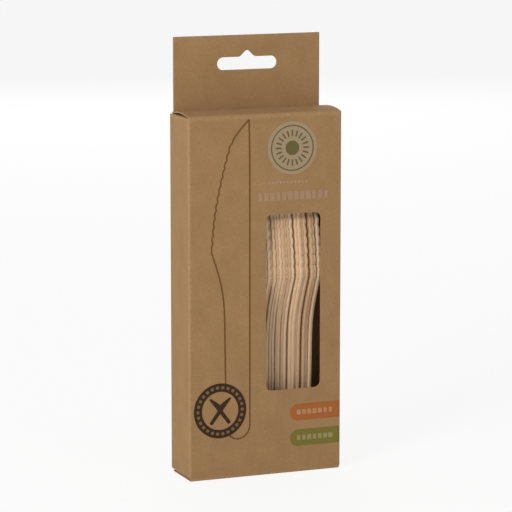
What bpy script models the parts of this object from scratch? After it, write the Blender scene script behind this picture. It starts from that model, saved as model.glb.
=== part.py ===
"""Kraft carton of wooden knives, with a hang tab, a window and a tuck-in lid.

Metres, +Z up. The carton stands on Z = 0 around the origin and its front faces -Y.
It is modelled as it is made: one die-cut sheet, folded along its creases and glued.
The knives stand in it with their tips up and their cutting edges to the window.
"""

import math

import bmesh
import bpy
from mathutils import Matrix, Vector

# Knife, measured from its tip along the length and from its spine across the width
KNIFE_LENGTH = 0.165
KNIFE_THICKNESS = 0.0014
NOSE_WIDTH = 0.0026  # from the spine's line to the foremost point
NOSE_ROUND = 0.0030
NOSE_DROP = 0.0005  # the spine falls by this much towards the nose
SPINE_FALL = 0.020  # over this length
TIP_LENGTH = 0.013  # smooth stretch before the first tooth
TIP_WIDTH = 0.0106
BLADE_LENGTH = 0.074  # tip to heel
HEEL_WIDTH = 0.0211
NECK_LENGTH = 0.032  # heel to handle
HANDLE_WIDTH = 0.0139
HANDLE_END_WIDTH = 0.0131
TOOTH_COUNT = 13
TOOTH_DEPTH = 0.0007

# How the knife's curves are pulled, as shares of the way along and of the way across
NOSE_PULLS = ((0.0, 0.4), (0.5, 0.9))
EDGE_PULLS = ((0.33, 0.53), (0.67, 0.95))
NECK_PULLS = ((0.41, 0.67), (0.6, 0.95))
SPINE_PULLS = ((0.67, 0.0), (1.0, 0.38))

# How the knives stand in the carton, from the left, each group pressed together:
# its knives, the gap at its foot to the group before it, and how far it tilts to the right
KNIFE_GROUPS = (
    (27, 0.0, 0.0),
    (6, 0.0003, math.radians(0.05)),
    (4, 0.0012, math.radians(0.10)),
    (2, 0.0012, math.radians(0.15)),
    (1, 0.0001, math.radians(0.55)),
)
KNIFE_LEAN = math.radians(10.0)  # turned about the vertical, cutting edges to the right
KNIFE_GAP = 0.00003  # between the faces of two neighbours
PUSHED_BACK = 0.0008  # the furthest that a knife stands behind the foremost ones
PUSH_RHYTHM = 2.4  # how the push varies from knife to knife

# Clearances
CLEARANCE = 0.0003  # between pieces that touch
LAYER_GAP = 0.0001  # between two layers of the sheet that are glued
FRONT_ROOM = 0.0006  # from the heels to the front panel
BACK_ROOM = 0.0003  # from the hindmost spine to the back panel
SIDE_ROOM = 0.00877  # from the last knife to the right panel
HEAD_ROOM = 0.0030  # from the tips to the front panel's upper edge

# Carton
BOARD = 0.0005
FOLD_INSIDE = 0.0002  # inside radius of a crease
GLUE_FLAP = 0.012
GLUE_FLAP_TAPER = 0.004
DUST_FLAP = 0.020
DUST_FLAP_TAPER = 0.003
TAPER_LENGTH = 0.008
INNER_BOTTOM_FLAP = 0.016
SLIT = 0.0002  # the cut between a flap and the wall beside it
TAB_HEIGHT = 0.0345  # above the front panel's upper edge
TAB_NOTCH = 0.0001  # from the glued corner's crease to the tab's edge

# Hang slot, with a peak for a hook
SLOT_WIDTH = 0.030
SLOT_HEIGHT = 0.006
SLOT_DROP = 0.0102  # below the tab's upper edge
PEAK_WIDTH = 0.009
PEAK_HEIGHT = 0.003

# Window in the front panel
WINDOW_LEFT = 0.0381
WINDOW_RIGHT = 0.0104
WINDOW_BELOW = 0.040
WINDOW_ABOVE = 0.047
WINDOW_CORNER = 0.003

# Lid
LID_ARCH = math.radians(11.0)  # slope of the bulged panel at its crease
LID_SIDE_GAP = 0.0003  # the lid is this much narrower than the carton on each side
LID_FOLD_INSIDE = 0.0005
TUCK_FLAP = 0.0115
TUCK_SIDE_GAP = 0.0005
TUCK_CORNER = 0.006

FOLD_STEPS = 4  # to a crease
ROUND_STEPS = 6  # to a quarter circle of an outline
KNIFE_STEPS = 4  # to a curve of the knife's outline
TOOTH_STEPS = 3
CUT_MARGIN = 0.002  # how far a cutter runs past the board
SMOOTH_ANGLE = math.radians(40.0)  # faces that meet at less are shaded as one

# Worked out from the sizes above
knife_count = sum(count for count, _, _ in KNIFE_GROUPS)
knife_pitch = (KNIFE_THICKNESS + KNIFE_GAP) / math.cos(KNIFE_LEAN)
most_tilt = max(tilt for _, _, tilt in KNIFE_GROUPS)
heel_thickness = KNIFE_THICKNESS + (KNIFE_LENGTH - BLADE_LENGTH) * math.sin(most_tilt)
tip_thickness = KNIFE_THICKNESS + KNIFE_LENGTH * math.sin(most_tilt)
stack_width = (
    (knife_count - 1) * knife_pitch
    + sum(gap for _, gap, _ in KNIFE_GROUPS)
    + HEEL_WIDTH * math.sin(KNIFE_LEAN)
    + heel_thickness * math.cos(KNIFE_LEAN)
)
stack_depth = HEEL_WIDTH * math.cos(KNIFE_LEAN) + tip_thickness * math.sin(KNIFE_LEAN)

# The bottom flaps lie over each other: the front's, then the back's, then the two side flaps
fold_outside = FOLD_INSIDE + BOARD
layer = BOARD + LAYER_GAP
front_low = fold_outside
back_low = front_low + layer
side_low = back_low + layer
floor_top = side_low - FOLD_INSIDE
knife_base = floor_top + CLEARANCE

glue_inset = BOARD + LAYER_GAP  # the glue flap lies this far inside the left panel's face
width = 3 * BOARD + LAYER_GAP + CLEARANCE + stack_width + SIDE_ROOM
depth = 2 * BOARD + FRONT_ROOM + stack_depth + PUSHED_BACK + BACK_ROOM
height = knife_base + KNIFE_LENGTH + HEAD_ROOM
left, right = -width / 2, width / 2
front, back = -depth / 2, depth / 2
flat_front, flat_back = front + fold_outside, back - fold_outside

tab_top = height + TAB_HEIGHT
tab_half = right - glue_inset - fold_outside - SLIT - TAB_NOTCH
tab_front = back - 2 * BOARD - LAYER_GAP
hinge_y = tab_front - CLEARANCE - BOARD / 2
hinge_z = height - BOARD / 2
shoulder = hinge_z - BOARD / 2 - CLEARANCE  # upper side of the dust flaps

# The lid's front fold and tuck flap, measured from the hinge: +Y to the back, +Z up
lid_fold_outside = LID_FOLD_INSIDE + BOARD
lid_fold_middle = LID_FOLD_INSIDE + BOARD / 2
lid_fold_centre = Vector((
    front + BOARD + CLEARANCE + lid_fold_outside - hinge_y,
    -lid_fold_middle * math.cos(LID_ARCH),
))
lid_chord = lid_fold_middle * math.sin(LID_ARCH) - lid_fold_centre.x
swing_outside = lid_fold_centre.length + lid_fold_outside


def tuck_lean():
    """Angle of the tuck flap to the upright that keeps its tip on the circle of the lid's fold.

    So the flap clears the front panel all the way as the lid swings.
    """
    forth, below = -lid_fold_centre.x, -lid_fold_centre.y
    upright = 2 * (lid_fold_outside * forth + TUCK_FLAP * below)
    level = 2 * (TUCK_FLAP * forth - lid_fold_outside * below)
    surplus = lid_fold_centre.length**2 + lid_fold_outside**2 + TUCK_FLAP**2 - swing_outside**2
    return math.atan2(upright, level) + math.asin(surplus / math.hypot(upright, level))


def dust_flap_front():
    """Front edge of the dust flaps, clear of the tuck flap's inner face as the lid swings."""
    lean = tuck_lean()
    face = LID_FOLD_INSIDE - lid_fold_centre.x * math.cos(lean) - lid_fold_centre.y * math.sin(lean)
    drop = hinge_z - shoulder + BOARD
    return hinge_y - math.sqrt((face - CLEARANCE) ** 2 - drop**2)


def curve_points(start, end, pulls, steps):
    """Points along a cubic curve between two points, without the end point."""
    run, rise = end[0] - start[0], end[1] - start[1]
    pulled = [(start[0] + along * run, start[1] + across * rise) for along, across in pulls]
    corners = (start, *pulled, end)
    points = []
    for step in range(steps):
        t = step / steps
        weights = ((1 - t) ** 3, 3 * t * (1 - t) ** 2, 3 * t * t * (1 - t), t**3)
        points.append(tuple(sum(w * c[k] for w, c in zip(weights, corners)) for k in (0, 1)))
    return points


def arc_points(centre, radius, start, end, steps):
    """Points on an arc between two angles in degrees, both ends included."""
    points = []
    for step in range(steps + 1):
        angle = math.radians(start + (end - start) * step / steps)
        points.append((centre[0] + radius * math.cos(angle), centre[1] + radius * math.sin(angle)))
    return points


def strip(sections):
    """A band of board through four-cornered sections, with its four side faces by section."""
    bm = bmesh.new()
    rings = [[bm.verts.new(corner) for corner in section] for section in sections]
    sides = []
    for ring, following in zip(rings, rings[1:]):
        faces = []
        for k in range(4):
            n = (k + 1) % 4
            faces.append(bm.faces.new((ring[k], following[k], following[n], ring[n])))
        sides.append(faces)
    bm.faces.new(rings[0])
    bm.faces.new(rings[-1])
    return bm, sides


def solid_between(first_loop, second_loop):
    """A closed solid between two matching outlines."""
    bm = bmesh.new()
    first = [bm.verts.new(point) for point in first_loop]
    second = [bm.verts.new(point) for point in second_loop]
    bm.faces.new(first)
    bm.faces.new(second)
    for k in range(len(first)):
        n = (k + 1) % len(first)
        bm.faces.new((first[k], first[n], second[n], second[k]))
    return bm


def draw_out(bm, faces):
    """Extrude faces of the sheet and return the new faces with their vertices."""
    drawn = bmesh.ops.extrude_face_region(bm, geom=faces)["geom"]
    bmesh.ops.delete(bm, geom=faces, context="FACES")
    verts = [part for part in drawn if isinstance(part, bmesh.types.BMVert)]
    return [part for part in drawn if isinstance(part, bmesh.types.BMFace)], verts


def crease(bm, faces, centre, axis, degrees):
    """Carry an edge of the sheet round a crease."""
    step = Matrix.Rotation(math.radians(degrees / FOLD_STEPS), 3, axis)
    for _ in range(FOLD_STEPS):
        faces, verts = draw_out(bm, faces)
        bmesh.ops.rotate(bm, verts=verts, cent=centre, matrix=step)
    return faces


def reach(bm, faces, way):
    """Carry an edge of the sheet straight on by a vector."""
    faces, verts = draw_out(bm, faces)
    bmesh.ops.translate(bm, verts=verts, vec=way)
    return faces


def reach_tapered(bm, faces, way):
    """Carry a side flap on, with its end narrowed in depth."""
    taper_way = way.normalized() * TAPER_LENGTH
    faces = reach(bm, faces, way - taper_way)
    faces, verts = draw_out(bm, faces)
    bmesh.ops.translate(bm, verts=verts, vec=taper_way)
    middle = (min(v.co.y for v in verts) + max(v.co.y for v in verts)) / 2
    half = max(v.co.y for v in verts) - middle
    for vert in verts:
        vert.co.y = middle + (vert.co.y - middle) * (half - DUST_FLAP_TAPER) / half


def finish_mesh(name, bm, material):
    """Turn a bmesh into a mesh with its material, its round stretches shaded smooth."""
    bmesh.ops.recalc_face_normals(bm, faces=bm.faces)
    mesh = bpy.data.meshes.new(name)
    bm.to_mesh(mesh)
    bm.free()
    mesh.materials.append(material)
    mesh.shade_smooth()
    mesh.set_sharp_from_angle(angle=SMOOTH_ANGLE)
    return mesh


def add_object(name, mesh, location=(0.0, 0.0, 0.0), rotation=(0.0, 0.0, 0.0)):
    """Place a mesh in the scene."""
    obj = bpy.data.objects.new(name, mesh)
    obj.location = location
    obj.rotation_euler = rotation
    bpy.context.scene.collection.objects.link(obj)
    return obj


def cut_away(obj, cutter):
    """Cut a hidden cutter's shape out of an object."""
    cutter.hide_render = True
    cutter.display_type = "WIRE"
    cut = obj.modifiers.new(cutter.name, "BOOLEAN")
    cut.operation = "DIFFERENCE"
    cut.solver = "EXACT"
    cut.object = cutter


def make_material(name, colour, roughness):
    """A plain surface with a colour and a roughness."""
    material = bpy.data.materials.new(name)
    material.use_nodes = True
    material.diffuse_color = (*colour, 1.0)
    shader = material.node_tree.nodes["Principled BSDF"]
    shader.inputs["Base Color"].default_value = (*colour, 1.0)
    shader.inputs["Roughness"].default_value = roughness
    shader.inputs["Metallic"].default_value = 0.0
    return material


def wall_sections():
    """Sections round the four panels, from the left panel's free edge to the glue flap.

    Each section has the board's outer lower, outer upper, inner upper and inner lower corner.
    A panel's lower edge is where its bottom flap's crease begins. The spans say which
    stretches between sections each flap grows from.
    """
    side_high = shoulder - fold_outside
    glue_x = left + glue_inset
    glue_low, glue_high = side_low + GLUE_FLAP_TAPER / 2, side_high - GLUE_FLAP_TAPER / 2
    dust_front, dust_back = dust_flap_front(), tab_front - CLEARANCE
    sections = []
    spans = {}

    def add(x, y, outward, low, high):
        outer = Vector((x, y))
        inner = outer - BOARD * Vector(outward)
        corners = ((outer, low), (outer, high), (inner, high), (inner, low))
        sections.append([Vector((p.x, p.y, z)) for p, z in corners])

    def add_corner(x, y, start, lows, highs):
        points = arc_points((x, y), fold_outside, start, start + 90, FOLD_STEPS)
        for step in range(1, FOLD_STEPS):
            outward = (Vector(points[step]) - Vector((x, y))).normalized()
            share = step / FOLD_STEPS
            low = lows[0] + (lows[1] - lows[0]) * share
            high = highs[0] + (highs[1] - highs[0]) * share
            add(*points[step], outward, low, high)

    def add_side(name, x, outward, stops):
        first = len(sections)
        for y, high in stops:
            add(x, y, outward, side_low, high)
        spans[name + " bottom"] = range(first, len(sections) - 1)
        spans[name + " top"] = range(first + 2, first + 3)

    side_stops = (
        (flat_front, shoulder),
        (dust_front - SLIT, shoulder),
        (dust_front, side_high),
        (dust_back, side_high),
        (dust_back + SLIT, shoulder),
        (flat_back, shoulder),
    )
    add(left, back - SLIT, (-1, 0), side_low, shoulder)
    add_side("left", left, (-1, 0), side_stops[::-1])
    add_corner(left + fold_outside, flat_front, 180, (side_low, front_low), (shoulder, height))
    spans["front bottom"] = range(len(sections), len(sections) + 1)
    add(left + fold_outside, front, (0, -1), front_low, height)
    add(right - fold_outside, front, (0, -1), front_low, height)
    add_corner(right - fold_outside, flat_front, 270, (front_low, side_low), (height, shoulder))
    add_side("right", right, (1, 0), side_stops)
    add_corner(right - fold_outside, flat_back, 0, (side_low, back_low), (shoulder, shoulder))
    back_start = len(sections)
    add(right - fold_outside, back, (0, 1), back_low, shoulder)
    add(tab_half + SLIT, back, (0, 1), back_low, shoulder)
    add(tab_half, back, (0, 1), back_low, height)
    add(-tab_half, back, (0, 1), back_low, height)
    add(-tab_half - SLIT, back, (0, 1), back_low, shoulder)
    add(glue_x + fold_outside, back, (0, 1), back_low, shoulder)
    spans["back bottom"] = range(back_start, len(sections) - 1)
    spans["tab"] = range(back_start + 2, back_start + 3)
    add_corner(glue_x + fold_outside, flat_back, 90, (back_low, glue_low), (shoulder, glue_high))
    add(glue_x, flat_back, (-1, 0), glue_low, glue_high)
    glue_end = flat_back - GLUE_FLAP
    add(glue_x, glue_end, (-1, 0), glue_low + GLUE_FLAP_TAPER, glue_high - GLUE_FLAP_TAPER)
    return sections, spans


def window_cutter():
    """A round-cornered block through the front panel."""
    x_centres = (left + WINDOW_LEFT + WINDOW_CORNER, right - WINDOW_RIGHT - WINDOW_CORNER)
    z_centres = (WINDOW_BELOW + WINDOW_CORNER, height - WINDOW_ABOVE - WINDOW_CORNER)
    outline = []
    for turn, (i, k) in enumerate(((1, 1), (0, 1), (0, 0), (1, 0))):
        centre = (x_centres[i], z_centres[k])
        outline += arc_points(centre, WINDOW_CORNER, 90 * turn, 90 * turn + 90, ROUND_STEPS)
    near, far = front - CUT_MARGIN, front + BOARD + FRONT_ROOM / 2
    return solid_between([(x, near, z) for x, z in outline], [(x, far, z) for x, z in outline])


def slot_cutter():
    """The hang slot's outline through the tab, round-ended with a peak over its middle."""
    end_radius = SLOT_HEIGHT / 2
    end_x = SLOT_WIDTH / 2 - end_radius
    middle_z = tab_top - SLOT_DROP - end_radius
    outline = arc_points((end_x, middle_z), end_radius, -90, 90, 2 * ROUND_STEPS)
    for step in range(2 * ROUND_STEPS + 1):
        share = step / (2 * ROUND_STEPS)
        rise = PEAK_HEIGHT * (1 - math.cos(2 * math.pi * share)) / 2
        outline.append((PEAK_WIDTH * (0.5 - share), middle_z + end_radius + rise))
    outline += arc_points((-end_x, middle_z), end_radius, 90, 270, 2 * ROUND_STEPS)
    near, far = tab_front - CUT_MARGIN, back + CUT_MARGIN
    return solid_between([(x, near, z) for x, z in outline], [(x, far, z) for x, z in outline])


def build_carton(board_material, cutter_material):
    """The folded sheet: four panels, glued bottom, dust flaps, doubled tab, window and slot."""
    sections, spans = wall_sections()
    bm, sides = strip(sections)
    upper, lower = 1, 3
    edges = {name: (upper if name in ("left top", "right top", "tab") else lower) for name in spans}
    faces = {name: [sides[i][edges[name]] for i in span] for name, span in spans.items()}
    along_x, along_y = Vector((1, 0, 0)), Vector((0, 1, 0))

    line = Vector((0, flat_front, front_low))
    flap = crease(bm, faces["front bottom"], line, along_x, 90)
    reach(bm, flap, Vector((0, flat_back - flat_front, 0)))

    line = Vector((0, flat_back, back_low))
    flap = crease(bm, faces["back bottom"], line, along_x, -90)
    reach(bm, flap, Vector((0, -INNER_BOTTOM_FLAP, 0)))

    for side, sign in (("left", 1), ("right", -1)):
        line = Vector((-sign * (right - fold_outside), 0, side_low))
        flap = crease(bm, faces[side + " bottom"], line, along_y, -90 * sign)
        reach_tapered(bm, flap, Vector((sign * DUST_FLAP, 0, 0)))
        line.z = shoulder - fold_outside
        flap = crease(bm, faces[side + " top"], line, along_y, 90 * sign)
        reach_tapered(bm, flap, Vector((sign * DUST_FLAP, 0, 0)))

    tab_fold = BOARD + LAYER_GAP / 2
    flap = reach(bm, faces["tab"], Vector((0, 0, TAB_HEIGHT - tab_fold)))
    line = Vector((0, back - tab_fold, tab_top - tab_fold))
    flap = crease(bm, flap, line, along_x, 180)
    reach(bm, flap, Vector((0, 0, height - tab_top + tab_fold)))

    carton = add_object("carton", finish_mesh("carton", bm, board_material))
    cutters = {"window_cutter": window_cutter(), "slot_cutter": slot_cutter()}
    for name, shape in cutters.items():
        cut_away(carton, add_object(name, finish_mesh(name, shape, cutter_material)))


def lid_section(point, angle, thickness, half_width):
    """The board's section where its upper side faces an angle from the upright."""
    away = Vector((math.sin(angle), math.cos(angle))) * thickness / 2
    over, under = point + away, point - away
    corners = ((-half_width, over), (half_width, over), (half_width, under), (-half_width, under))
    return [Vector((x, p.x, p.y)) for x, p in corners]


def build_lid(material):
    """The bulged lid and its tuck flap, with the origin on the lid's crease at the tab."""
    lid_half = right - LID_SIDE_GAP
    tuck_half = right - BOARD - TUCK_SIDE_GAP
    lean = tuck_lean()
    sections = []

    # round edge about the hinge
    backward = Vector((math.cos(LID_ARCH), -math.sin(LID_ARCH)))
    for step in range(1, FOLD_STEPS):
        angle = math.pi / 2 * step / FOLD_STEPS
        point = backward * BOARD / 2 * math.cos(angle)
        sections.append(lid_section(point, LID_ARCH, BOARD * math.sin(angle), lid_half))

    # bulged panel
    panel_radius = lid_chord / (2 * math.sin(LID_ARCH))
    panel_centre = Vector((-lid_chord / 2, -panel_radius * math.cos(LID_ARCH)))
    panel_steps = 2 * FOLD_STEPS
    for step in range(panel_steps + 1):
        angle = LID_ARCH * (1 - 2 * step / panel_steps)
        point = panel_centre + panel_radius * Vector((math.sin(angle), math.cos(angle)))
        sections.append(lid_section(point, angle, BOARD, lid_half))

    # front fold, narrower so that it goes in between the side panels
    end_angle = -math.pi / 2 - lean
    fold_steps = 2 * FOLD_STEPS
    for step in range(1, fold_steps + 1):
        angle = -LID_ARCH + (end_angle + LID_ARCH) * step / fold_steps
        point = lid_fold_centre + lid_fold_middle * Vector((math.sin(angle), math.cos(angle)))
        sections.append(lid_section(point, angle, BOARD, tuck_half))

    # tuck flap with rounded corners
    start = point
    inward = Vector((math.sin(lean), -math.cos(lean)))
    for step in range(ROUND_STEPS + 1):
        angle = math.pi / 2 * step / ROUND_STEPS
        run = TUCK_FLAP - TUCK_CORNER * (1 - math.sin(angle))
        half = tuck_half - TUCK_CORNER * (1 - math.cos(angle))
        sections.append(lid_section(start + inward * run, end_angle, BOARD, half))

    bm, _ = strip(sections)
    add_object("lid", finish_mesh("lid", bm, material), (0, hinge_y, hinge_z))


def knife_outline():
    """The knife's outline as distances from the tip and from the spine, round from the nose."""
    nose, first_tooth = (0, NOSE_WIDTH), (TIP_LENGTH, TIP_WIDTH)
    heel, handle = (BLADE_LENGTH, HEEL_WIDTH), (BLADE_LENGTH + NECK_LENGTH, HANDLE_WIDTH)
    outline = curve_points(nose, first_tooth, NOSE_PULLS, KNIFE_STEPS)

    # cutting edge: round teeth with a notch between each two
    edge = curve_points(first_tooth, heel, EDGE_PULLS, TOOTH_STEPS * TOOTH_COUNT)
    for k, (along, across) in enumerate(edge):
        notch = 1 - abs(math.sin(math.pi * k / TOOTH_STEPS))
        outline.append((along, across - TOOTH_DEPTH * notch))

    outline += curve_points(heel, handle, NECK_PULLS, 2 * KNIFE_STEPS)
    outline.append(handle)
    end_radius = HANDLE_END_WIDTH / 2
    end_centre = (KNIFE_LENGTH - end_radius, end_radius)
    outline += arc_points(end_centre, end_radius, 90, -90, 2 * KNIFE_STEPS)
    outline.append((SPINE_FALL, 0))
    outline += curve_points((NOSE_ROUND, NOSE_DROP), nose, SPINE_PULLS, KNIFE_STEPS)
    return outline


def build_knives(material):
    """The knives, all from one mesh, side by side in their groups."""
    outline = [(-across, KNIFE_LENGTH - along) for along, across in knife_outline()]
    sides = [[(x, y, z) for y, z in outline] for x in (0, KNIFE_THICKNESS)]
    mesh = finish_mesh("knife", solid_between(*sides), material)

    foremost = front + BOARD + FRONT_ROOM + HEEL_WIDTH * math.cos(KNIFE_LEAN)
    x = left + 2 * BOARD + LAYER_GAP + CLEARANCE
    number = 0
    for count, gap, tilt in KNIFE_GROUPS:
        x += gap
        for _ in range(count):
            push = PUSHED_BACK * (1 - math.cos(PUSH_RHYTHM * number)) / 2
            place = (x - push * math.sin(KNIFE_LEAN), foremost + push * math.cos(KNIFE_LEAN), knife_base)
            number += 1
            name = f"knife_{number:02d}"
            add_object(name, mesh, place, (0, tilt, KNIFE_LEAN))
            x += knife_pitch


for old in list(bpy.data.objects):
    bpy.data.objects.remove(old, do_unlink=True)

kraft = make_material("kraft_board", (0.30, 0.19, 0.09), 0.85)
veneer = make_material("birch_veneer", (0.72, 0.50, 0.30), 0.6)
hidden = make_material("cutter", (0.5, 0.5, 0.5), 1.0)
build_carton(kraft, hidden)
build_lid(kraft)
build_knives(veneer)
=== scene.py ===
import math

import bmesh
import bpy
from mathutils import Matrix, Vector


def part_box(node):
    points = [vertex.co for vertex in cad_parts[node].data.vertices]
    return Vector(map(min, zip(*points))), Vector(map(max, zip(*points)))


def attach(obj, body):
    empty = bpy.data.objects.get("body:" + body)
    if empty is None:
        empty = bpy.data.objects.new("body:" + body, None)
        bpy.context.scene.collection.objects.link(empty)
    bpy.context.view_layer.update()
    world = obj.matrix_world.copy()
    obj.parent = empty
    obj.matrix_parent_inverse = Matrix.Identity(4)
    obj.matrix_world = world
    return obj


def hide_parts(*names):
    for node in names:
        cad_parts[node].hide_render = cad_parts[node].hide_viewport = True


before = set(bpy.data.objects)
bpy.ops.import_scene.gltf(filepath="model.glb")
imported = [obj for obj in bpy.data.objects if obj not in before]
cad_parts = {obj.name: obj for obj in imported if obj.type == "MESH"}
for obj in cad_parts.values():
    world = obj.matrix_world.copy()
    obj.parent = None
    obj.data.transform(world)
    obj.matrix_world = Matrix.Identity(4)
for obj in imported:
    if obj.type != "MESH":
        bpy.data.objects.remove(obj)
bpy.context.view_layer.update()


# KNIVES
# Forty flat knives, die-cut from birch veneer and tumbled until their edges are slightly
# rounded. They stand tips up in loose groups, some pushed back a little behind the others.

KNIFE_COUNT = 40
KNIFE_LENGTH = 0.165
KNIFE_THICKNESS = 0.0014
EDGE_ROUND = 0.00018
HEEL_AT, HEEL_WIDTH = 0.074, 0.0211
FIRST_TOOTH_AT, FIRST_TOOTH_WIDTH = 0.013, 0.0106
TOOTH_COUNT, TOOTH_DEPTH = 13, 0.0007
NOSE_WIDTH, NOSE_ROUND, NOSE_DROP = 0.0026, 0.0030, 0.0005
HANDLE_AT, HANDLE_WIDTH, HANDLE_END_WIDTH = 0.106, 0.0139, 0.0131
SPINE_FALL = 0.020

# each curve's pull at its start and at its end, as shares of its length and of its width
TIP_PULLS = ((0, 0.4), (0.5, 0.9))
TEETH_PULLS = ((0.33, 0.53), (0.67, 0.95))
HEEL_PULLS = ((0.41, 0.67), (0.6, 0.95))
NOSE_PULLS = ((0.67, 0), (1, 0.38))

TOOTH_STEPS = 8
EDGE_TURNS = (90, 60, 30, 0)
FLAT_FACE = 0.9  # the least that a face of the flat side looks sideways


def pulled_curve(start, end, pulls, steps):
    """Points along a cubic curve, without its end; each pull is a share along and across."""
    start, end = Vector(start), Vector(end)
    span = end - start
    pulled = [start + Vector((along * span.x, across * span.y)) for along, across in pulls]
    points = []
    for step in range(steps):
        t = step / steps
        shares = ((1 - t) ** 3, 3 * t * (1 - t) ** 2, 3 * t * t * (1 - t), t**3)
        points.append(sum((w * c for w, c in zip(shares, (start, *pulled, end))), Vector((0, 0))))
    return points


def arc(centre, radius, first, last, steps):
    """Points on an arc between two angles in degrees, both ends included."""
    turns = [math.radians(first + (last - first) * k / steps) for k in range(steps + 1)]
    return [Vector((centre[0] + radius * math.cos(a), centre[1] + radius * math.sin(a))) for a in turns]


def knife_shape(steps):
    """Outline as distances from the tip and from the spine; steps go to each tooth."""
    nose, tooth = (0, NOSE_WIDTH), (FIRST_TOOTH_AT, FIRST_TOOTH_WIDTH)
    heel, handle = (HEEL_AT, HEEL_WIDTH), (HANDLE_AT, HANDLE_WIDTH)
    shape = pulled_curve(nose, tooth, TIP_PULLS, 2 * steps)
    edge = pulled_curve(tooth, heel, TEETH_PULLS, steps * TOOTH_COUNT)
    for k, point in enumerate(edge):
        notch = 1 - abs(math.sin(math.pi * k / steps))
        shape.append(point - Vector((0, TOOTH_DEPTH * notch)))
    shape += pulled_curve(heel, handle, HEEL_PULLS, 4 * steps)
    shape.append(Vector(handle))
    half = HANDLE_END_WIDTH / 2
    shape += arc((KNIFE_LENGTH - half, half), half, 90, -90, 5 * steps)
    shape.append(Vector((SPINE_FALL, 0)))
    shape += pulled_curve((NOSE_ROUND, NOSE_DROP), nose, NOSE_PULLS, 2 * steps)
    return shape


def knife_blank():
    """One knife, upright, with its spine on the Z axis and its cutting edge towards -Y."""
    flat = [Vector((-p.y, KNIFE_LENGTH - p.x)) for p in knife_shape(TOOTH_STEPS)]
    inward = []
    for k, point in enumerate(flat):
        along = (flat[(k + 1) % len(flat)] - flat[k - 1]).normalized()
        inward.append(Vector((-along.y, along.x)))
    middle = Vector((-HANDLE_WIDTH / 2, KNIFE_LENGTH / 2))
    if (middle - flat[len(flat) // 2]).dot(inward[len(flat) // 2]) < 0:
        inward = [-way for way in inward]
    bm = bmesh.new()
    rings = []
    for face, way in ((0.0, 1), (KNIFE_THICKNESS, -1)):
        turns = [math.radians(angle) for angle in EDGE_TURNS]
        for turn in turns if way == 1 else turns[::-1]:
            inset = EDGE_ROUND * (1 - math.cos(turn))
            depth = face + way * EDGE_ROUND * (1 - math.sin(turn))
            ring = []
            for point, aside in zip(flat, inward):
                moved = point + aside * inset
                ring.append(bm.verts.new((depth, moved.x, moved.y)))
            rings.append(ring)
    for ring, following in zip(rings, rings[1:]):
        for k in range(len(ring)):
            n = (k + 1) % len(ring)
            bm.faces.new((ring[k], following[k], following[n], ring[n]))
    bm.faces.new(rings[0])
    bm.faces.new(rings[-1])
    bmesh.ops.recalc_face_normals(bm, faces=bm.faces)
    mesh = bpy.data.meshes.new("knife_blank")
    bm.to_mesh(mesh)
    bm.free()
    place = mesh.attributes.new("place_on_knife", "FLOAT_VECTOR", "POINT")
    place.data.foreach_set("vector", [value for vert in mesh.vertices for value in vert.co])
    cut = mesh.attributes.new("cut_edge", "FLOAT", "FACE")
    cut.data.foreach_set("value", [float(abs(face.normal.x) < FLAT_FACE) for face in mesh.polygons])
    mesh.shade_smooth()
    mesh.set_sharp_from_angle(angle=math.radians(50))
    return mesh


def add_node(tree, kind, settings=None, **values):
    """A node with its settings and with values or links for its inputs, by their names."""
    node = tree.nodes.new(kind)
    for name, value in (settings or {}).items():
        setattr(node, name, value)
    for name, value in values.items():
        sockets = [s for s in node.inputs if s.name.replace(" ", "_") == name and s.enabled]
        if isinstance(value, bpy.types.NodeSocket):
            tree.links.new(value, sockets[0])
        else:
            sockets[0].default_value = value
    return node


def calc(tree, operation, first, second=0.0):
    """The result of a sum on two numbers or links."""
    node = tree.nodes.new("ShaderNodeMath")
    node.operation = operation
    for socket, value in zip(node.inputs, (first, second)):
        if isinstance(value, bpy.types.NodeSocket):
            tree.links.new(value, socket)
        else:
            socket.default_value = value
    return node.outputs[0]


def new_tree(name, inputs):
    """A geometry node tree with named inputs; returns it, their links and their identifiers."""
    tree = bpy.data.node_groups.new(name, "GeometryNodeTree")
    tree.interface.new_socket("Geometry", in_out="OUTPUT", socket_type="NodeSocketGeometry")
    tree.interface.new_socket("Geometry", in_out="INPUT", socket_type="NodeSocketGeometry")
    keys = {}
    for label, kind in inputs.items():
        socket = tree.interface.new_socket(label, in_out="INPUT", socket_type="NodeSocket" + kind)
        keys[label] = socket.identifier
    source = tree.nodes.new("NodeGroupInput")
    return tree, {socket.name: socket for socket in source.outputs}, keys


def end_tree(tree, shape):
    """Close a tree with Realize Instances and Set Material."""
    real = add_node(tree, "GeometryNodeRealizeInstances", Geometry=shape)
    given = tree.nodes["Group Input"].outputs["Material"]
    painted = add_node(tree, "GeometryNodeSetMaterial", Geometry=real.outputs[0], Material=given)
    last = tree.nodes.new("NodeGroupOutput")
    tree.links.new(painted.outputs[0], last.inputs[0])


def grow(name, mesh, tree, keys, values):
    """Run a tree on a mesh and keep the result as a plain object."""
    maker = bpy.data.objects.new(name + "_maker", mesh)
    bpy.context.scene.collection.objects.link(maker)
    modifier = maker.modifiers.new("grow", "NODES")
    modifier.node_group = tree
    for label, value in values.items():
        modifier[keys[label]] = value
    bpy.context.view_layer.update()
    ready = maker.evaluated_get(bpy.context.evaluated_depsgraph_get())
    result = bpy.data.meshes.new_from_object(ready)
    maker.modifiers.clear()
    bpy.data.objects.remove(maker)
    result.name = name
    piece = bpy.data.objects.new(name, result)
    bpy.context.scene.collection.objects.link(piece)
    return piece


LATER_GROUPS = ("Second", "Third", "Fourth", "Fifth")


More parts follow.
